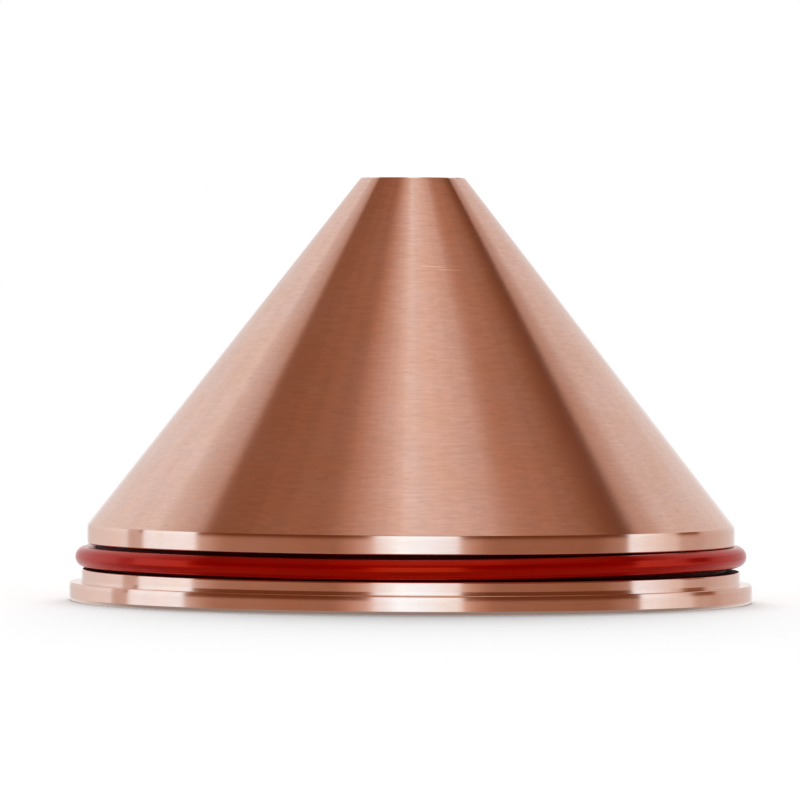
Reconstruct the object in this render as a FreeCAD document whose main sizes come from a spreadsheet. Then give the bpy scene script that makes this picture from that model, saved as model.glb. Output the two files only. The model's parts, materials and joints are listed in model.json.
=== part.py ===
import FreeCAD, Part
import os

import Sketcher

# Plasma shield cap: a copper cone turned in one piece, with a seal ring in a groove round its rim.
# Millimetres. The axis is Z, the foot of the flange stands on Z = 0 and the tip points up.

doc = FreeCAD.newDocument("plasma_shield_cap")

SIZES = {
    # rim, from the foot up: flange, rear land, seal groove, front land
    "flange_thickness": 1.35,
    "flange_reach": 0.9,
    "rear_land_length": 0.95,
    "rear_land_step": 0.4,
    "front_land_length": 1.35,
    "front_land_diameter": 47.4,
    # seal ring and its groove
    "ring_section": 1.5,
    "ring_side_clearance": 0.175,
    "ring_seat_clearance": 0.02,
    "groove_depth": 0.65,
    # cone and tip
    "cone_height": 25.5,
    "cone_wall": 3.2,
    "orifice_diameter": 4.0,
    "tip_face_width": 1.8,
    # inside of the rim
    "rim_wall": 2.05,
    "seat_bore_depth": 4.0,
    "step_bore_length": 2.0,
    # edges outside
    "flange_foot_chamfer": 0.15,
    "flange_top_chamfer": 0.2,
    "rear_land_foot_chamfer": 0.25,
    "groove_mouth_chamfer": 0.1,
    "front_land_corner_radius": 0.5,
    "tip_edge_chamfer": 0.1,
    # edges inside
    "seat_lead_in_chamfer": 0.5,
    "step_bore_mouth_chamfer": 0.2,
    "orifice_mouth_radius": 0.6,
    "orifice_exit_chamfer": 0.25,
}

sheet = doc.addObject("Spreadsheet::Sheet", "Sizes")
for row, (name, millimetres) in enumerate(SIZES.items(), start=1):
    sheet.set(f"A{row}", name)
    sheet.set(f"B{row}", str(millimetres))
    sheet.setAlias(f"B{row}", name)
doc.recompute()


def size(formula):
    """The number that a formula on the sheet's sizes comes to."""
    return float(sheet.evalExpression(formula))


# Heights above the foot
FOOT = "0"
FLANGE_TOP = "Sizes.flange_thickness"
GROOVE_FOOT = f"{FLANGE_TOP} + Sizes.rear_land_length"
GROOVE_MIDDLE = f"{GROOVE_FOOT} + Sizes.ring_side_clearance + Sizes.ring_section / 2"
GROOVE_TOP = f"{GROOVE_FOOT} + 2 * Sizes.ring_side_clearance + Sizes.ring_section"
CONE_FOOT = f"{GROOVE_TOP} + Sizes.front_land_length"
TIP = f"{CONE_FOOT} + Sizes.cone_height"
SEAT_SHOULDER = "Sizes.seat_bore_depth"
INNER_CONE_FOOT = f"{SEAT_SHOULDER} + Sizes.step_bore_length"

# Radii from the axis
AXIS = "0"
FRONT_LAND = "Sizes.front_land_diameter / 2"
REAR_LAND = f"{FRONT_LAND} + Sizes.rear_land_step"
FLANGE = f"{REAR_LAND} + Sizes.flange_reach"
GROOVE_FLOOR = f"{FRONT_LAND} - Sizes.groove_depth"
SEAT_BORE = f"{GROOVE_FLOOR} - Sizes.rim_wall"
ORIFICE = "Sizes.orifice_diameter / 2"
TIP_FACE = f"{ORIFICE} + Sizes.tip_face_width"
RING_CENTRE = f"{GROOVE_FLOOR} + Sizes.ring_seat_clearance + Sizes.ring_section / 2"

# The inner cone runs parallel to the outer one, a wall's thickness inside it
CONE_RUN = f"({FRONT_LAND} - ({TIP_FACE}))"
CONE_SLOPE = f"({CONE_RUN} / Sizes.cone_height)"
LEVEL_WALL = f"(Sizes.cone_wall * hypot({CONE_RUN}; Sizes.cone_height) / Sizes.cone_height)"
STEP_BORE = f"{FRONT_LAND} - {LEVEL_WALL} - ({INNER_CONE_FOOT} - ({CONE_FOOT})) * {CONE_SLOPE}"
ORIFICE_MOUTH = f"{CONE_FOOT} + ({FRONT_LAND} - {LEVEL_WALL} - {ORIFICE}) / {CONE_SLOPE}"


def new_body(name):
    body = doc.addObject("PartDesign::Body", name)
    body.Label = name
    return body


def half_section(body, name):
    """An empty sketch on the body's XZ plane: its X is the radius, its Y the height."""
    sketch = body.newObject("Sketcher::SketchObject", name)
    planes = [item for item in body.Origin.OriginFeatures if item.Role == "XZ_Plane"]
    sketch.AttachmentSupport = [(planes[0], "")]
    sketch.MapMode = "FlatFace"
    return sketch


def hold(sketch, line, direction, formula):
    """Ties the start of a line to the sheet, by its radius (X) or its height (Y)."""
    origin, start = (-1, 1), (line, 1)
    if formula in (AXIS, FOOT):
        across = -2 if direction == "X" else -1
        sketch.addConstraint(Sketcher.Constraint("PointOnObject", *start, across))
        return
    kind = f"Distance{direction}"
    made = sketch.addConstraint(Sketcher.Constraint(kind, *origin, *start, size(formula)))
    sketch.setExpression(f"Constraints[{made}]", formula)


def draw_outline(sketch, corners):
    """A closed outline of straight lines through corners given as (radius, height)."""
    points = [FreeCAD.Vector(size(radius), size(height), 0) for radius, height in corners]
    ends = points[1:] + points[:1]
    for start, end in zip(points, ends):
        sketch.addGeometry(Part.LineSegment(start, end), False)
    for line in range(len(corners)):
        following = (line + 1) % len(corners)
        sketch.addConstraint(Sketcher.Constraint("Coincident", line, 2, following, 1))
    for line, (radius, height) in enumerate(corners):
        hold(sketch, line, "X", radius)
        hold(sketch, line, "Y", height)


def turn(body, kind, name, sketch):
    """Turns a half section all the way round the axis, as metal or as a cut."""
    feature = body.newObject(kind, name)
    feature.Profile = sketch
    feature.ReferenceAxis = (sketch, ["V_Axis"])
    feature.Angle = 360
    doc.recompute()
    return feature


def circle_edges(shape, places):
    """The names of the circular edges at the given (radius, height) places."""
    names = []
    for radius, height in places:
        for number, edge in enumerate(shape.Edges, start=1):
            curve = edge.Curve
            if not isinstance(curve, Part.Circle):
                continue
            off_radius = abs(curve.Radius - size(radius))
            off_height = abs(curve.Center.z - size(height))
            if off_radius < 1e-6 and off_height < 1e-6:
                names.append(f"Edge{number}")
    return names


def soften(body, kind, name, places, alias):
    """Rounds or chamfers the circular edges at the given places."""
    before = body.Tip
    feature = body.newObject(f"PartDesign::{kind}", name)
    names = circle_edges(before.Shape, places)
    if len(names) != len(places):
        raise RuntimeError(f"{name}: {len(names)} edges found for {len(places)} places")
    feature.Base = (before, names)
    feature.setExpression("Radius" if kind == "Fillet" else "Size", f"Sizes.{alias}")
    doc.recompute()
    return feature


def make_shield_body():
    """The copper shield: blank, bore and seal groove, then every edge broken."""
    body = new_body("shield_body")

    blank = half_section(body, "BlankSection")
    draw_outline(blank, [
        (AXIS, FOOT),
        (FLANGE, FOOT),
        (FLANGE, FLANGE_TOP),
        (REAR_LAND, FLANGE_TOP),
        (REAR_LAND, GROOVE_MIDDLE),
        (FRONT_LAND, GROOVE_MIDDLE),
        (FRONT_LAND, CONE_FOOT),
        (TIP_FACE, TIP),
        (AXIS, TIP),
    ])
    turn(body, "PartDesign::Revolution", "TurnedBlank", blank)

    bore = half_section(body, "BoreSection")
    draw_outline(bore, [
        (AXIS, FOOT),
        (SEAT_BORE, FOOT),
        (SEAT_BORE, SEAT_SHOULDER),
        (STEP_BORE, SEAT_SHOULDER),
        (STEP_BORE, INNER_CONE_FOOT),
        (ORIFICE, ORIFICE_MOUTH),
        (ORIFICE, TIP),
        (AXIS, TIP),
    ])
    turn(body, "PartDesign::Groove", "Bore", bore)

    gland = half_section(body, "SealGrooveSection")
    draw_outline(gland, [
        (GROOVE_FLOOR, GROOVE_FOOT),
        (FLANGE, GROOVE_FOOT),
        (FLANGE, GROOVE_TOP),
        (GROOVE_FLOOR, GROOVE_TOP),
    ])
    turn(body, "PartDesign::Groove", "SealGroove", gland)

    soften(body, "Fillet", "FrontLandCorner", [(FRONT_LAND, CONE_FOOT)], "front_land_corner_radius")
    soften(body, "Chamfer", "TipEdge", [(TIP_FACE, TIP)], "tip_edge_chamfer")
    soften(body, "Chamfer", "OrificeExit", [(ORIFICE, TIP)], "orifice_exit_chamfer")
    soften(body, "Chamfer", "GrooveMouth",
           [(REAR_LAND, GROOVE_FOOT), (FRONT_LAND, GROOVE_TOP)], "groove_mouth_chamfer")
    soften(body, "Chamfer", "RearLandFoot", [(REAR_LAND, FLANGE_TOP)], "rear_land_foot_chamfer")
    soften(body, "Chamfer", "FlangeTop", [(FLANGE, FLANGE_TOP)], "flange_top_chamfer")
    soften(body, "Chamfer", "FlangeFoot", [(FLANGE, FOOT)], "flange_foot_chamfer")
    soften(body, "Chamfer", "SeatLeadIn", [(SEAT_BORE, FOOT)], "seat_lead_in_chamfer")
    soften(body, "Chamfer", "StepBoreMouth", [(STEP_BORE, SEAT_SHOULDER)], "step_bore_mouth_chamfer")
    soften(body, "Fillet", "OrificeMouth", [(ORIFICE, ORIFICE_MOUTH)], "orifice_mouth_radius")
    return body


def make_o_ring():
    """The seal ring, stretched over the groove's floor and centred between its sides."""
    body = new_body("o_ring")
    section = half_section(body, "RingSection")
    centre = FreeCAD.Vector(size(RING_CENTRE), size(GROOVE_MIDDLE), 0)
    upward = FreeCAD.Vector(0, 0, 1)
    cord = Part.Circle(centre, upward, size("Sizes.ring_section / 2"))
    circle = section.addGeometry(cord, False)
    for kind, formula in (("DistanceX", RING_CENTRE), ("DistanceY", GROOVE_MIDDLE)):
        made = section.addConstraint(Sketcher.Constraint(kind, -1, 1, circle, 3, size(formula)))
        section.setExpression(f"Constraints[{made}]", formula)
    made = section.addConstraint(Sketcher.Constraint("Diameter", circle, size("Sizes.ring_section")))
    section.setExpression(f"Constraints[{made}]", "Sizes.ring_section")
    turn(body, "PartDesign::Revolution", "Ring", section)
    return body


pieces = [make_shield_body(), make_o_ring()]
doc.recompute()

for item in doc.Objects:
    if "Invalid" in item.State or "Error" in item.State:
        raise RuntimeError(f"{item.Name} did not compute: {item.State}")

bored = doc.getObject("Bore").Shape.Volume < doc.getObject("TurnedBlank").Shape.Volume
grooved = doc.getObject("SealGroove").Shape.Volume < doc.getObject("Bore").Shape.Volume
if not (bored and grooved):
    raise RuntimeError("a cut took no metal away")

os.makedirs("parts", exist_ok=True)
for piece in pieces:
    shape = piece.Shape
    if shape.isNull() or not shape.isValid():
        raise RuntimeError(f"{piece.Label} has no valid shape")
    shape.exportStep(f"parts/{piece.Label}.step")
    box = shape.optimalBoundingBox()
    print(f"{piece.Label}: {shape.Volume:.1f} mm3, diameter {box.XLength:.2f}, height {box.ZLength:.2f} mm")
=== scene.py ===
import json
import math

import bpy
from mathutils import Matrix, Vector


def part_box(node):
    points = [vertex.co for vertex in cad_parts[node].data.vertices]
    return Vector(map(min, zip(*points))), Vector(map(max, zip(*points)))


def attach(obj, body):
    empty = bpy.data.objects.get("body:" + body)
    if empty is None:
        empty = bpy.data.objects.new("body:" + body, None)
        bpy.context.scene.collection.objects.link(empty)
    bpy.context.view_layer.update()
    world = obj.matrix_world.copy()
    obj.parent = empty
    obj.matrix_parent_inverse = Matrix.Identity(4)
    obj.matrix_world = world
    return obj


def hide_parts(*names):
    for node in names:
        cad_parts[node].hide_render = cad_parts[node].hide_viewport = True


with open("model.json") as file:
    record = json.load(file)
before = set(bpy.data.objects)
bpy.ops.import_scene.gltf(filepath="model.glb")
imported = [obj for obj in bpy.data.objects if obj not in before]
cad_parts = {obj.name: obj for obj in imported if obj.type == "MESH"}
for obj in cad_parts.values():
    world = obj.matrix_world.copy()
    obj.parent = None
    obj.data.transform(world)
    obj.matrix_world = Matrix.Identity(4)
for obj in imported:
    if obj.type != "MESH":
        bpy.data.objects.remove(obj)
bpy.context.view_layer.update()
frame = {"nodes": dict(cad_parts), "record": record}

bpy.ops.object.select_all(action="DESELECT")
print("frame loaded:", sorted(frame["nodes"]))

mm = 0.001


# Camera: a long lens a little above the rim, turned a hair against the table
photoView = {
    "distance": 659 * mm,
    "height": 26.4 * mm,
    "aside": -0.92 * mm,
    "lookDown": math.radians(1.0155),
    "roll": math.radians(-0.3),
    "lens": 405,
    "sensor": 36,
    "clipEnd": 100,
}


def placeCamera():
    place = (photoView["aside"], -photoView["distance"], photoView["height"])
    turn = (math.radians(90) - photoView["lookDown"], photoView["roll"], 0)
    bpy.ops.object.camera_add(location=place, rotation=turn)
    camera = bpy.context.object
    camera.name = "photoCamera"
    camera.data.lens = photoView["lens"]
    camera.data.sensor_width = photoView["sensor"]
    camera.data.clip_end = photoView["clipEnd"]
    bpy.context.scene.camera = camera


placeCamera()
print("camera placed")


# Node helpers
def addNode(tree, kind, **settings):
    node = tree.nodes.new(kind)
    for name, value in settings.items():
        setattr(node, name, value)
    return node


def feed(tree, socket, value):  # links a socket, or sets a number
    if isinstance(value, bpy.types.NodeSocket):
        tree.links.new(value, socket)
    else:
        socket.default_value = value


def maths(tree, operation, *values):
    node = addNode(tree, "ShaderNodeMath", operation=operation)
    for socket, value in zip(node.inputs, values):
        feed(tree, socket, value)
    return node.outputs[0]


def vectorMaths(tree, operation, *values):
    node = addNode(tree, "ShaderNodeVectorMath", operation=operation)
    for socket, value in zip(node.inputs, values):
        feed(tree, socket, value)
    return node.outputs["Vector"]


def scaled(tree, colour, factor):
    node = addNode(tree, "ShaderNodeVectorMath", operation="SCALE")
    feed(tree, node.inputs[0], colour)
    feed(tree, node.inputs["Scale"], factor)
    return node.outputs["Vector"]


def rampUp(tree, value, start, end, low=0.0, high=1.0):  # a smooth change from low to high
    node = addNode(tree, "ShaderNodeMapRange", interpolation_type="SMOOTHSTEP")
    feed(tree, node.inputs["Value"], value)
    for name, number in (("From Min", start), ("From Max", end), ("To Min", low), ("To Max", high)):
        feed(tree, node.inputs[name], number)
    return node.outputs["Result"]


def blendNumber(tree, factor, low, high):
    node = addNode(tree, "ShaderNodeMix", data_type="FLOAT")
    for socket, value in zip(node.inputs[:1] + node.inputs[2:4], (factor, low, high)):
        feed(tree, socket, value)
    return node.outputs[0]


def blendColour(tree, factor, low, high):
    node = addNode(tree, "ShaderNodeMix", data_type="RGBA", blend_type="MIX")
    for socket, value in zip(node.inputs[:1] + node.inputs[6:8], (factor, low, high)):
        feed(tree, socket, value)
    return node.outputs[2]


def noise(tree, place, scale, detail=2.0, roughness=0.5):
    node = addNode(tree, "ShaderNodeTexNoise")
    feed(tree, node.inputs["Vector"], place)
    for name, number in (("Scale", scale), ("Detail", detail), ("Roughness", roughness)):
        feed(tree, node.inputs[name], number)
    return node.outputs["Fac"]


def inMillimetres(tree, where):
    return vectorMaths(tree, "MULTIPLY", where, (1000, 1000, 1000))


def addBump(tree, shade, height, depth):
    bump = addNode(tree, "ShaderNodeBump")
    feed(tree, bump.inputs["Height"], height)
    bump.inputs["Distance"].default_value = depth
    tree.links.new(bump.outputs["Normal"], shade.inputs["Normal"])


def newMaterial(name):
    material = bpy.data.materials.new(name)
    material.use_nodes = True
    tree = material.node_tree
    tree.nodes.clear()
    output = addNode(tree, "ShaderNodeOutputMaterial")
    return material, tree, output


# Light: a pale sky and a soft sun from behind for the table, and a tent that only mirrors see.
# A panel of the tent is named by the surface that mirrors it: its turn round the axis, in degrees,
# and its lean upwards. The cards hang high and light the cone, the windows are lower and light the rim.
tent = {
    "radius": 1.0,
    "segments": 64,
    "rings": 32,
    "cards": [
        {"name": "leftWall", "to": -50.0, "soft": 3.0, "levels": (0.75, 0.80)},
        {"name": "leftVeil", "to": -39.0, "soft": 1.5, "levels": (0.70, 0.50)},
        {"name": "leftCard", "to": -15.0, "soft": 2.0, "levels": (0.25, 0.35)},
        {"name": "ridgeLamp", "to": -0.5, "soft": 1.0, "levels": (0.35, 0.85)},
        {"name": "ridgeFall", "to": 16.5, "soft": 4.0, "levels": (0.85, 0.65)},
        {"name": "rightCard", "to": 31.0, "soft": 3.0, "levels": (0.50, 0.35)},
        {"name": "rightShade", "to": 42.5, "soft": 1.0, "levels": (0.35, 0.10)},
        {"name": "rightVeil", "to": 50.0, "soft": 2.0, "levels": (0.45, 0.60)},
        {"name": "rightWall", "to": 90.0, "soft": 0.0, "levels": (0.70, 0.80)},
    ],
    "windows": [
        {"name": "leftWall", "to": -59.5, "soft": 0.5, "levels": (0.65, 0.85)},
        {"name": "leftPost", "to": -54.5, "soft": 0.5, "levels": (0.60, 0.60)},
        {"name": "leftWindow", "to": -40.5, "soft": 0.5, "levels": (0.95, 1.00)},
        {"name": "leftGlow", "to": -35.0, "soft": 2.0, "levels": (0.65, 0.45)},
        {"name": "leftCard", "to": -13.0, "soft": 1.5, "levels": (0.40, 0.35)},
        {"name": "frontGlow", "to": -6.5, "soft": 1.0, "levels": (0.35, 0.70)},
        {"name": "frontEdge", "to": -2.5, "soft": 0.5, "levels": (0.90, 1.05)},
        {"name": "frontWindow", "to": 8.5, "soft": 0.5, "levels": (1.10, 0.95)},
        {"name": "rightGlow", "to": 13.5, "soft": 2.0, "levels": (0.65, 0.40)},
        {"name": "rightCard", "to": 35.0, "soft": 2.0, "levels": (0.35, 0.30)},
        {"name": "rightHaze", "to": 41.0, "soft": 0.5, "levels": (0.35, 0.45)},
        {"name": "rightWindow", "to": 54.5, "soft": 1.5, "levels": (1.00, 0.75)},
        {"name": "rightPost", "to": 63.0, "soft": 2.0, "levels": (0.60, 0.55)},
        {"name": "rightWall", "to": 90.0, "soft": 0.0, "levels": (0.60, 0.80)},
    ],
    # unlit board, brown card, half-lit veil, white wall and lamp, in front and at the sides
    "frontShades": [
        (0.15, 0.05, 0.02), (0.30, 0.15, 0.09), (0.50, 0.30, 0.22),
        (0.80, 0.70, 0.65), (1.10, 1.60, 1.90),
    ],
    "sideShades": [
        (0.15, 0.05, 0.02), (0.30, 0.15, 0.09), (0.50, 0.35, 0.29),
        (0.80, 0.80, 0.80), (1.10, 1.50, 1.75),
    ],
    "sideFrom": (20.0, 45.0),
    "windowSill": (-12.0, -8.0),
    "headShade": (0.40, 1.05),  # over the windows: strong over a dim one, none over a bright one
    "headShadeFrom": (0.0, 5.0),
    "brightFrom": (0.50, 0.95),
    "leftOpenFrom": (-54.5, -56.5),  # past these turns nothing shades a window
    "rightOpenFrom": (59.5, 63.0),
    "frontGap": (0.40, 1.0),  # the dark strip over the front window, and where it ends at the sides
    "frontGapFrom": (12.0, 16.0),
    "frontGapTurns": (12.0, 20.0),
    "cardsFrom": (22.0, 28.0),
    "skylightFrom": (55.0, 62.0),
    "backdrop": (0.9, 0.9, 0.9, 1),
    "backdropFrom": (0.01, 0.04),
    "tableLevels": (0.33, 0.80),
    "tableLevelsFrom": (50.0, 75.0),
    "tableTint": (0.95, 1.0, 1.0),
}


def panelLevels(tree, turn, panels):  # each panel runs evenly between its two levels and ends softly
    level, start, soft = None, -90.0, 0.0
    for panel in panels:
        slope = addNode(tree, "ShaderNodeMapRange", interpolation_type="LINEAR", label=panel["name"])
        feed(tree, slope.inputs["Value"], turn)
        span = (start, panel["to"], *panel["levels"])
        for name, number in zip(("From Min", "From Max", "To Min", "To Max"), span):
            feed(tree, slope.inputs[name], number)
        ownLevel = slope.outputs["Result"]
        if level is None:
            level = ownLevel
        else:
            level = blendNumber(tree, rampUp(tree, turn, start - soft, start + soft), level, ownLevel)
        start, soft = panel["to"], panel["soft"]
    return level


def tentShades(tree, level, shades):  # a shade's red is the level at which it is seen
    ramp = addNode(tree, "ShaderNodeValToRGB")
    brightest = shades[-1][0]
    feed(tree, ramp.inputs["Fac"], maths(tree, "DIVIDE", level, brightest))
    stops = ramp.color_ramp.elements
    while len(stops) < len(shades):
        stops.new(0.5)
    for stop, shade in zip(stops, shades):
        stop.position = shade[0] / brightest
        stop.color = [*shade, 1]
    return ramp.outputs["Color"]


def tentDirections(tree):
    # The turn and the lean, in degrees, of the surface that mirrors this spot,
    # and how near to the front the spot is
    where = addNode(tree, "ShaderNodeTexCoord").outputs["Object"]
    split = addNode(tree, "ShaderNodeSeparateXYZ")
    feed(tree, split.inputs[0], vectorMaths(tree, "NORMALIZE", where))
    right, away, up = split.outputs
    near = maths(tree, "SUBTRACT", 1.0, away)
    turn = maths(tree, "DEGREES", maths(tree, "ARCTAN2", right, near))
    squares = [maths(tree, "POWER", side, 2.0) for side in (right, near)]
    flat = maths(tree, "SQRT", maths(tree, "ADD", *squares))
    lean = maths(tree, "DEGREES", maths(tree, "ARCTAN2", up, flat))
    return turn, lean, near


def lightTent():
    bpy.ops.mesh.primitive_uv_sphere_add(
        segments=tent["segments"], ring_count=tent["rings"], radius=tent["radius"])
    dome = bpy.context.object
    dome.name = "lightTent"
    material, tree, output = newMaterial("tentLight")
    material.cycles.emission_sampling = "NONE"

    turn, lean, near = tentDirections(tree)
    aside = maths(tree, "ABSOLUTE", turn)
    windows = panelLevels(tree, turn, tent["windows"])
    cards = panelLevels(tree, turn, tent["cards"])
    leftOpen, rightOpen = (rampUp(tree, turn, *tent[name]) for name in ("leftOpenFrom", "rightOpenFrom"))
    bright = rampUp(tree, windows, *tent["brightFrom"])
    opened = maths(tree, "MAXIMUM", maths(tree, "ADD", leftOpen, rightOpen), bright)
    shaded = maths(tree, "MULTIPLY", windows, rampUp(tree, opened, 0.0, 1.0, *tent["headShade"]))
    gapShare = rampUp(tree, aside, *tent["frontGapTurns"], *tent["frontGap"])
    shadedGap = maths(tree, "MINIMUM", shaded, maths(tree, "MULTIPLY", windows, gapShare))

    # from the windows upwards, each band takes over from the one below
    level = windows
    bands = (
        ("headShadeFrom", shaded), ("frontGapFrom", shadedGap),
        ("cardsFrom", cards), ("skylightFrom", shaded),
    )
    for name, band in bands:
        level = blendNumber(tree, rampUp(tree, lean, *tent[name]), level, band)
    front, side = (tentShades(tree, level, tent[name]) for name in ("frontShades", "sideShades"))
    colour = blendColour(tree, rampUp(tree, aside, *tent["sideFrom"]), front, side)
    tableTop = rampUp(tree, aside, *tent["tableLevelsFrom"], *tent["tableLevels"])
    tableColour = scaled(tree, tent["tableTint"], tableTop)
    colour = blendColour(tree, rampUp(tree, lean, *tent["windowSill"]), tableColour, colour)
    colour = blendColour(tree, rampUp(tree, near, *tent["backdropFrom"]), tent["backdrop"], colour)

    light = addNode(tree, "ShaderNodeEmission")
    feed(tree, light.inputs["Color"], colour)
    tree.links.new(light.outputs[0], output.inputs["Surface"])
    dome.data.materials.append(material)
    dome.visible_camera = False
    dome.visible_diffuse = False
    dome.visible_transmission = False
    dome.visible_volume_scatter = False
    dome.visible_shadow = False


sky = {
    "level": 0.42,
    "sunPlace": (0, 0.3, 0.3),
    "sunAngle": 50,
    "sunHeight": 35,
    "sunStrength": 3.3,
}


def paleSky():  # white for the camera, and dimmer as a light, because the sun gives the rest
    world = bpy.data.worlds.new("paleSky")
    world.use_nodes = True
    tree = world.node_tree
    shade = tree.nodes["Background"]
    shade.inputs["Color"].default_value = (1, 1, 1, 1)
    path = addNode(tree, "ShaderNodeLightPath")
    seen = maths(tree, "MAXIMUM", path.outputs["Is Camera Ray"], path.outputs["Is Glossy Ray"])
    seen = maths(tree, "MAXIMUM", seen, path.outputs["Is Transmission Ray"])
    feed(tree, shade.inputs["Strength"], blendNumber(tree, seen, sky["level"], 1.0))
    bpy.context.scene.world = world


def softSun():
    turn = (math.radians(sky["sunHeight"] - 90), 0, 0)
    bpy.ops.object.light_add(type="SUN", location=sky["sunPlace"], rotation=turn)
    sun = bpy.context.object
    sun.name = "softSun"
    sun.data.angle = math.radians(sky["sunAngle"])
    sun.data.energy = sky["sunStrength"]
    sun.visible_glossy = False


table = {"side": 8.0, "colour": (0.99, 0.99, 0.99, 1)}


def whiteTable():
    bpy.ops.mesh.primitive_plane_add(size=table["side"])
    sheet = bpy.context.object
    sheet.name = "tableSheet"
    material, tree, output = newMaterial("tableWhite")
    shade = addNode(tree, "ShaderNodeBsdfDiffuse")
    shade.inputs["Color"].default_value = table["colour"]
    tree.links.new(shade.outputs[0], output.inputs["Surface"])
    sheet.data.materials.append(material)
    sheet.visible_glossy = False


bpy.context.scene.view_settings.view_transform = "Standard"
paleSky()
softSun()
whiteTable()
lightTent()
print("light and table set")


# Copper shield, in metres; the overall radius and height come from the frame
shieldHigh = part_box("shield_body")[1]
mounts = {mount["name"]: mount for mount in frame["record"]["mounts"]}
shield = {
    "segments": 256,
    "coneRows": 12,
    "flangeThickness": 1.35 * mm,
    "rearLandRadius": 24.1 * mm,
    "grooveFoot": 2.3 * mm,
    "grooveFloorRadius": 23.05 * mm,
    "grooveTop": 4.15 * mm,
    "frontLandRadius": 23.7 * mm,
    "coneFoot": 5.5 * mm,
    "tipFaceRadius": 3.8 * mm,
    "coneWall": 3.2 * mm,
    "seatDepth": 4.0 * mm,
    "innerConeFoot": 6.0 * mm,
    "flangeTopWorn": (0.1 * mm, 0.5 * mm),  # how far in and how far down the edge is worn round
    "landTopWorn": (0.05 * mm, 0.5 * mm),
    "rearLandCove": (0.05 * mm, 0.22 * mm),
    "wornSteps": 7,
    "supportRing": 0.03 * mm,  # beside each break, so that the wide faces shade true
    "flangeFootBreak": 0.24 * mm,
    "rearLandBreak": 0.12 * mm,
    "frontLandBreak": 0.12 * mm,
    "tipBreak": 0.12 * mm,
    "seatLeadIn": 0.5 * mm,
    "orificeBreak": 0.25 * mm,
    "orificeMouth": 0.3 * mm,
    "stepBreak": 0.2 * mm,
    "smoothAngle": math.radians(44),
}


def shieldCorners():  # the corners of the half section as (radius, height)
    flange, tip = shieldHigh.x, shieldHigh.z
    seat = mounts["seat_bore"]["dims"]["r_mm"] * mm
    orifice = mounts["arc_orifice"]["dims"]["r_mm"] * mm
    rearLand, land = shield["rearLandRadius"], shield["frontLandRadius"]
    floor, tipFace = shield["grooveFloorRadius"], shield["tipFaceRadius"]
    coneFoot, innerFoot, seatDepth = shield["coneFoot"], shield["innerConeFoot"], shield["seatDepth"]
    run, rise = land - tipFace, tip - coneFoot
    slope = run / rise
    levelWall = shield["coneWall"] * math.hypot(run, rise) / rise
    stepBore = land - levelWall - (innerFoot - coneFoot) * slope
    return {
        "flangeFoot": (flange, 0),
        "flangeTop": (flange, shield["flangeThickness"]),
        "landFoot": (rearLand, shield["flangeThickness"]),
        "rearLandTop": (rearLand, shield["grooveFoot"]),
        "grooveFoot": (floor, shield["grooveFoot"]),
        "grooveTop": (floor, shield["grooveTop"]),
        "frontLandFoot": (land, shield["grooveTop"]),
        "landCorner": (land, coneFoot),
        "tipEdge": (tipFace, tip),
        "orificeExit": (orifice, tip),
        "orificeMouth": (orifice, coneFoot + (land - levelWall - orifice) / slope),
        "innerConeFoot": (stepBore, innerFoot),
        "stepMouth": (stepBore, seatDepth),
        "seatTop": (seat, seatDepth),
        "seatMouth": (seat, 0),
    }


def between(start, end, share):
    return tuple(a + (b - a) * share for a, b in zip(start, end))


def coneSlope(corners):  # how far in the cone runs for each step up
    land, coneFoot = corners["landCorner"]
    tipRadius, tip = corners["tipEdge"]
    return (land - tipRadius) / (tip - coneFoot)


def wornArc(radius, height, worn, last):  # up part of an ellipse, from the wall at a radius and a height
    inward, down = worn
    steps = shield["wornSteps"]
    angles = [last * step / steps for step in range(steps + 1)]
    return [(radius - inward * (1 - math.cos(a)), height + down * math.sin(a)) for a in angles]


def wornFlangeTop(corners):  # with a support ring before and after
    inward, down = shield["flangeTopWorn"]
    flange, top = corners["flangeTop"]
    support = shield["supportRing"]
    arc = wornArc(flange, top - down, (inward, down), math.radians(90))
    return [(flange, top - down - support)] + arc + [(flange - inward - support, top)]


def rearLandCove(corners):  # the shallow cove that the tool's nose left at the foot of the rear land
    wide, high = shield["rearLandCove"]
    rearLand, foot = corners["landFoot"]
    support = foot + high + shield["supportRing"]
    return [(rearLand + wide, foot), (rearLand, foot + high), (rearLand, support)]


def wornLandTop(corners):  # ends where the arc is as steep as the cone
    inward, down = shield["landTopWorn"]
    land, coneFoot = corners["landCorner"]
    slope = coneSlope(corners)
    last = math.atan(down / inward * slope)
    height = coneFoot + inward * (1 - math.cos(last)) / slope - down * math.sin(last)
    support = shield["supportRing"]
    arc = wornArc(land, height, (inward, down), last)
    endRadius, endHeight = arc[-1]
    return [(land, height - support)] + arc + [(endRadius - support * slope, endHeight + support)]


def shieldOutline(corners, breaks):  # from the foot up the outside, then down the inside
    outline = []
    names = list(corners)
    for number, name in enumerate(names):
        place = corners[name]
        before, after = corners[names[number - 1]], corners[names[(number + 1) % len(names)]]
        if name == "flangeTop":
            outline += wornFlangeTop(corners)
        elif name == "landFoot":
            outline += rearLandCove(corners)
        elif name == "landCorner":
            rows = shield["coneRows"]
            outline += wornLandTop(corners)
            outline += [between(place, after, row / rows) for row in range(1, rows)]
        elif name in breaks:
            reach = breaks[name][0] + shield["supportRing"]
            outline.append(between(place, before, reach / math.dist(place, before)))
            outline.append(place)
            outline.append(between(place, after, reach / math.dist(place, after)))
        else:
            outline.append(place)
    return outline


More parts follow.
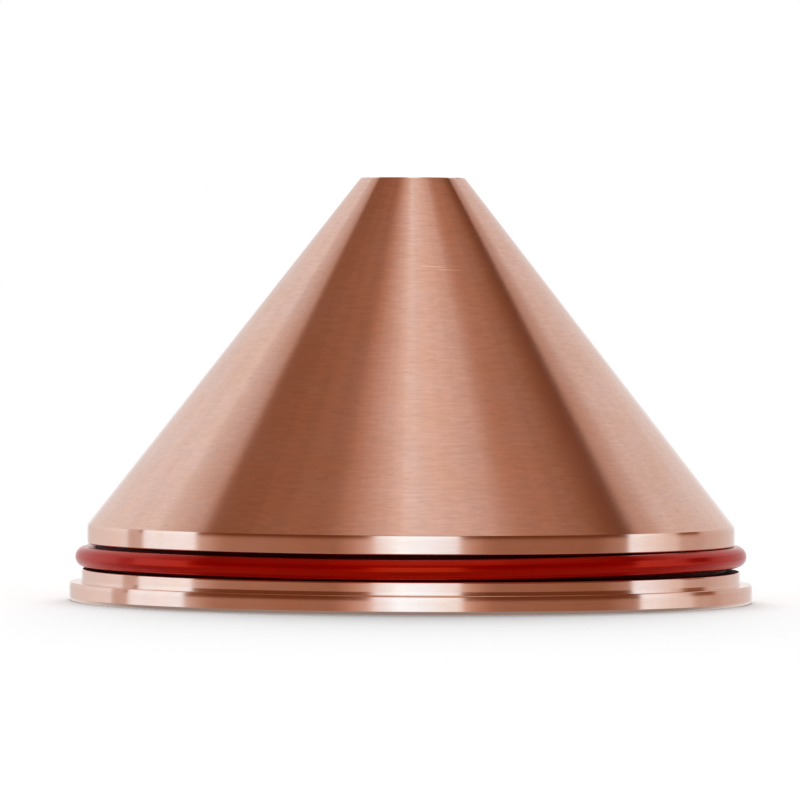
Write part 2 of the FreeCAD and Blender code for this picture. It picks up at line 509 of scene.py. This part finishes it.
def selectRing(piece, place):  # in edit mode, the ring of edges at a (radius, height)
    bpy.ops.mesh.select_all(action="DESELECT")
    bpy.ops.object.mode_set(mode="OBJECT")
    close = 1e-6
    spots = [(math.hypot(point.co.x, point.co.y), point.co.z) for point in piece.data.vertices]
    onRing = [math.dist(spot, place) < close for spot in spots]
    for edge in piece.data.edges:
        edge.select = all(onRing[number] for number in edge.vertices)
    bpy.ops.object.mode_set(mode="EDIT")


def latheRings(outline, segments, name):  # a ring extruded from corner to corner, then closed
    startRadius, startHeight = outline[0]
    bpy.ops.mesh.primitive_circle_add(vertices=segments, radius=startRadius)
    piece = bpy.context.object
    piece.name = name
    bpy.ops.object.mode_set(mode="EDIT")
    bpy.ops.mesh.select_mode(type="EDGE")
    bpy.ops.mesh.select_all(action="SELECT")
    bpy.ops.transform.translate(value=(0, 0, startHeight))
    radius, height = startRadius, startHeight
    for nextRadius, nextHeight in outline[1:]:
        bpy.ops.mesh.extrude_region_move(TRANSFORM_OT_translate={"value": (0, 0, nextHeight - height)})
        grow = nextRadius / radius
        if abs(grow - 1) > 1e-9:
            bpy.ops.transform.resize(value=(grow, grow, 1), center_override=(0, 0, 0))
        radius, height = nextRadius, nextHeight
    bpy.ops.mesh.select_all(action="DESELECT")
    bpy.ops.mesh.select_non_manifold()
    bpy.ops.mesh.bridge_edge_loops()
    bpy.ops.mesh.select_all(action="SELECT")
    bpy.ops.mesh.normals_make_consistent(inside=False)
    return piece


def makeShield():
    corners = shieldCorners()
    breaks = {  # width and steps
        "flangeFoot": (shield["flangeFootBreak"], 3),
        "rearLandTop": (shield["rearLandBreak"], 4),
        "frontLandFoot": (shield["frontLandBreak"], 3),
        "tipEdge": (shield["tipBreak"], 3),
        "orificeExit": (shield["orificeBreak"], 2),
        "orificeMouth": (shield["orificeMouth"], 4),
        "stepMouth": (shield["stepBreak"], 2),
        "seatMouth": (shield["seatLeadIn"], 1),
    }
    piece = latheRings(shieldOutline(corners, breaks), shield["segments"], "turnedShield")
    for name, (width, steps) in breaks.items():
        selectRing(piece, corners[name])
        bpy.ops.mesh.bevel(offset=width, segments=steps, profile=0.5, affect="EDGES")
    bpy.ops.object.mode_set(mode="OBJECT")
    bpy.ops.object.shade_smooth_by_angle(angle=shield["smoothAngle"])
    return piece


# Finishes of the copper, and the painted shade of the seal groove
copper = {
    "colour": (0.93, 0.597, 0.485),
    "hues": [(1.0, 1.02, 1.05), (1.0, 0.98, 0.95)],  # a little pinker here, a little browner there
    "strokes": (0.9, 0.9, 5.0),  # marks across a millimetre, round and up
    "fineStrokes": (0.5, 0.5, 12.0),
    "fineShare": 0.4,
    "flecks": (1.6, 1.6, 5.0),
    "streaksRound": 16.0,
    "smudges": 0.16,  # scales of the soft patterns, per millimetre
    "patches": 0.3,
    "roughnessSpread": (1.12, 0.9),
}
cone = {
    "roughness": 0.2, "anisotropy": 0.9, "markDepth": 0.005 * mm, "mottle": 0.07,
    "scratchFade": 3.0,  # degrees, at both ends
    "scratchGlints": [  # painted glints along fine scratched lines, drawn brighter than the metal: turn in degrees, height and width in millimetres
        {"turn": (3.0, 17.0), "height": 24.60, "rise": -0.008, "width": 0.05, "gain": 0.35},
        {"turn": (11.0, 24.0), "height": 24.38, "rise": -0.005, "width": 0.06, "gain": 0.40},
    ],
}
rim = {"roughness": 0.13, "anisotropy": 0.6, "markDepth": 0.0006 * mm, "mottle": 0.03}
bore = {"roughness": 0.34, "anisotropy": 0.75, "markDepth": 0.006 * mm, "mottle": 0.08}
# the seal groove's copper: painted shade and a painted reflection of the red ring, not a finish of its
# own
groove = {
    "roughness": 0.6, "anisotropy": 0.3, "markDepth": 0.006 * mm, "mottle": 0.08,
    "colour": (0.08, 0.01, 0.006),  # painted shade with a painted red reflection of the ring: almost black, with a red cast
}


def turnedTangent(tree, where):  # the direction that runs round the axis
    flat = vectorMaths(tree, "MULTIPLY", where, (1, 1, 0))
    return vectorMaths(tree, "NORMALIZE", vectorMaths(tree, "CROSS_PRODUCT", (0, 0, 1), flat))


def scratchGlintGain(tree, inMm):  # painted highlight: how much brighter the fine scratched lines are drawn than the metal beside them, for their glint
    split = addNode(tree, "ShaderNodeSeparateXYZ")
    feed(tree, split.inputs[0], inMm)
    right, away, up = split.outputs
    near = maths(tree, "MULTIPLY", away, -1.0)
    turn = maths(tree, "DEGREES", maths(tree, "ARCTAN2", right, near))
    fade = cone["scratchFade"]
    total = 0.0
    for glintLine in cone["scratchGlints"]:
        start, end = glintLine["turn"]
        begun = rampUp(tree, turn, start, start + fade)
        over = rampUp(tree, turn, end - fade, end)
        along = maths(tree, "SUBTRACT", begun, over)
        line = maths(tree, "MULTIPLY_ADD", turn, glintLine["rise"], glintLine["height"])
        off = maths(tree, "ABSOLUTE", maths(tree, "SUBTRACT", up, line))
        across = rampUp(tree, off, 0.0, glintLine["width"], glintLine["gain"], 0.0)
        total = maths(tree, "MULTIPLY_ADD", along, across, total)
    return total


def turnedCopper(name, finish):
    # Short strokes and faint streaks left by the lathe, sparse dark flecks and a few soft smudges, and
    # on the cone painted glints along fine scratched lines
    material, tree, output = newMaterial(name)
    shade = addNode(tree, "ShaderNodeBsdfPrincipled")
    tree.links.new(shade.outputs[0], output.inputs["Surface"])
    shade.inputs["Metallic"].default_value = 1.0
    shade.inputs["Anisotropic"].default_value = finish["anisotropy"]
    shade.inputs["Anisotropic Rotation"].default_value = 0.25  # a quarter turn

    where = addNode(tree, "ShaderNodeTexCoord").outputs["Object"]
    feed(tree, shade.inputs["Tangent"], turnedTangent(tree, where))
    inMm = inMillimetres(tree, where)
    aroundAxis = vectorMaths(tree, "NORMALIZE", vectorMaths(tree, "MULTIPLY", where, (1, 1, 0)))
    strokes = noise(tree, vectorMaths(tree, "MULTIPLY", inMm, copper["strokes"]), 1.0, 3.0, 0.6)
    fine = noise(tree, vectorMaths(tree, "MULTIPLY", inMm, copper["fineStrokes"]), 1.0, 3.0, 0.6)
    flecks = noise(tree, vectorMaths(tree, "MULTIPLY", inMm, copper["flecks"]), 1.0, 2.0, 0.5)
    streaks = noise(tree, aroundAxis, copper["streaksRound"], 3.0, 0.55)
    smudges = noise(tree, inMm, copper["smudges"], 3.0, 0.55)
    patches = noise(tree, inMm, copper["patches"], 2.0, 0.5)

    mottle, colour = finish["mottle"], finish.get("colour", copper["colour"])
    marks = blendNumber(tree, copper["fineShare"], strokes, fine)
    shading = rampUp(tree, marks, 0.32, 0.68, 1 - mottle, 1 + mottle / 3)
    patterns = [  # where the change begins and ends, and the brightness at both
        (streaks, 0.3, 0.7, 1 - mottle / 2, 1 + mottle / 4),
        (smudges, 0.35, 0.7, 1, 1 - mottle / 2),
        (flecks, 0.60, 0.75, 1, 1 - mottle),
    ]
    for pattern in patterns:
        shading = maths(tree, "MULTIPLY", shading, rampUp(tree, *pattern))
    # painted highlight: bright glint lines on the cone, added to the metal's colour
    if "scratchGlints" in finish:
        shading = maths(tree, "ADD", shading, scratchGlintGain(tree, inMm))
    pinker, browner = ([*(a * b for a, b in zip(colour, hue)), 1] for hue in copper["hues"])
    metal = blendColour(tree, rampUp(tree, patches, 0.35, 0.65), pinker, browner)
    feed(tree, shade.inputs["Base Color"], scaled(tree, metal, shading))

    rough = [finish["roughness"] * share for share in copper["roughnessSpread"]]
    feed(tree, shade.inputs["Roughness"], rampUp(tree, marks, 0.3, 0.7, *rough))
    addBump(tree, shade, marks, finish["markDepth"])
    return material


def paintShield(piece):  # the cone, the rim and the bored inside each have a finish, and the seal groove has painted shade with a painted red reflection of the ring
    finishes = {"turnedCone": cone, "polishedRim": rim, "boredInside": bore, "sealGroovePaintedShade": groove}
    for name, finish in finishes.items():
        piece.data.materials.append(turnedCopper(name, finish))
    coneSlot, rimSlot, boreSlot, grooveSlot = range(len(finishes))
    corners = shieldCorners()
    seatRim = corners["seatTop"][0] + shield["seatLeadIn"] + shield["supportRing"] * 2
    land, coneFoot = corners["landCorner"]
    slope = coneSlope(corners)
    grooveFoot, grooveTop = shield["grooveFoot"], shield["grooveTop"]
    edge = 0.01 * mm
    for face in piece.data.polygons:
        radius, height = math.hypot(face.center.x, face.center.y), face.center.z
        outerCone = land - max(0, height - coneFoot) * slope
        if radius < (seatRim if height < coneFoot else outerCone - shield["coneWall"] / 2):
            face.material_index = boreSlot
        # faces in the seal groove take the painted shade
        elif grooveFoot - edge < height < grooveTop + edge:
            face.material_index = grooveSlot
        elif height > coneFoot + shield["landTopWorn"][0]:
            face.material_index = coneSlot
        else:
            face.material_index = rimSlot


shieldPiece = makeShield()
paintShield(shieldPiece)
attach(shieldPiece, "root")
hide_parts("shield_body")
print("shield turned:", len(shieldPiece.data.polygons), "faces")


# Red seal ring; it sits a little askew in its groove: high on the right, and sagging in front
ringLow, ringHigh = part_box("o_ring")
seal = {
    "aroundSteps": 256,
    "sectionSteps": 36,
    "raised": 0.065 * mm,
    "rightRise": 0.105 * mm,
    "frontSag": 0.16 * mm,
    "sagReach": 24 * mm,
    "colour": (0.36, 0.0003, 0.0002),
    "mirrorTint": (1.0, 0.045, 0.01, 1),
    "ior": 2.1,
    "roughness": (0.10, 0.16),
    "clouds": 0.35,
    "cloudLevels": (0.9, 1.06),
    "grain": 9.0,
    "grainDepth": 0.002 * mm,
}


def makeSeal():
    bpy.ops.object.select_all(action="DESELECT")
    section = (ringHigh.z - ringLow.z) / 2
    middle = (ringHigh.z + ringLow.z) / 2 + seal["raised"]
    centreRadius = ringHigh.x - section
    bpy.ops.mesh.primitive_torus_add(
        major_radius=centreRadius, minor_radius=section,
        major_segments=seal["aroundSteps"], minor_segments=seal["sectionSteps"])
    piece = bpy.context.object
    piece.name = "sealRing"
    bpy.ops.object.mode_set(mode="EDIT")
    bpy.ops.mesh.select_mode(type="EDGE")
    bpy.ops.mesh.select_all(action="SELECT")
    bpy.ops.transform.translate(value=(0, 0, middle))
    sideways = math.atan(seal["rightRise"] / centreRadius)
    bpy.ops.transform.rotate(value=sideways, orient_axis="Y", center_override=(0, 0, middle))

    bpy.ops.mesh.select_mode(type="VERT")
    bpy.ops.mesh.select_all(action="DESELECT")
    bpy.ops.object.mode_set(mode="OBJECT")
    frontLine = -(centreRadius - section) * 0.99
    for point in piece.data.vertices:  # the few right in front pull the rest down with them
        point.select = point.co.y < frontLine and abs(point.co.x) < section / 5
    bpy.ops.object.mode_set(mode="EDIT")
    bpy.ops.transform.translate(
        value=(0, 0, -seal["frontSag"]), use_proportional_edit=True,
        proportional_edit_falloff="SMOOTH", proportional_size=seal["sagReach"])
    bpy.ops.object.mode_set(mode="OBJECT")
    bpy.ops.object.shade_smooth()
    return piece


def redSilicone():
    material, tree, output = newMaterial("redSilicone")
    shade = addNode(tree, "ShaderNodeBsdfPrincipled")
    tree.links.new(shade.outputs[0], output.inputs["Surface"])
    shade.inputs["IOR"].default_value = seal["ior"]
    shade.inputs["Specular IOR Level"].default_value = 1.0
    shade.inputs["Specular Tint"].default_value = seal["mirrorTint"]
    where = addNode(tree, "ShaderNodeTexCoord").outputs["Object"]
    inMm = inMillimetres(tree, where)
    clouds = noise(tree, inMm, seal["clouds"], 3.0)
    grain = noise(tree, inMm, seal["grain"], 3.0)
    shading = rampUp(tree, clouds, 0.3, 0.7, *seal["cloudLevels"])
    feed(tree, shade.inputs["Base Color"], scaled(tree, seal["colour"], shading))
    feed(tree, shade.inputs["Roughness"], rampUp(tree, grain, 0.3, 0.7, *seal["roughness"]))
    addBump(tree, shade, grain, seal["grainDepth"])
    return material


sealPiece = makeSeal()
sealPiece.data.materials.append(redSilicone())
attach(sealPiece, "root")
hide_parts("o_ring")
print("seal ring made:", len(sealPiece.data.polygons), "faces")
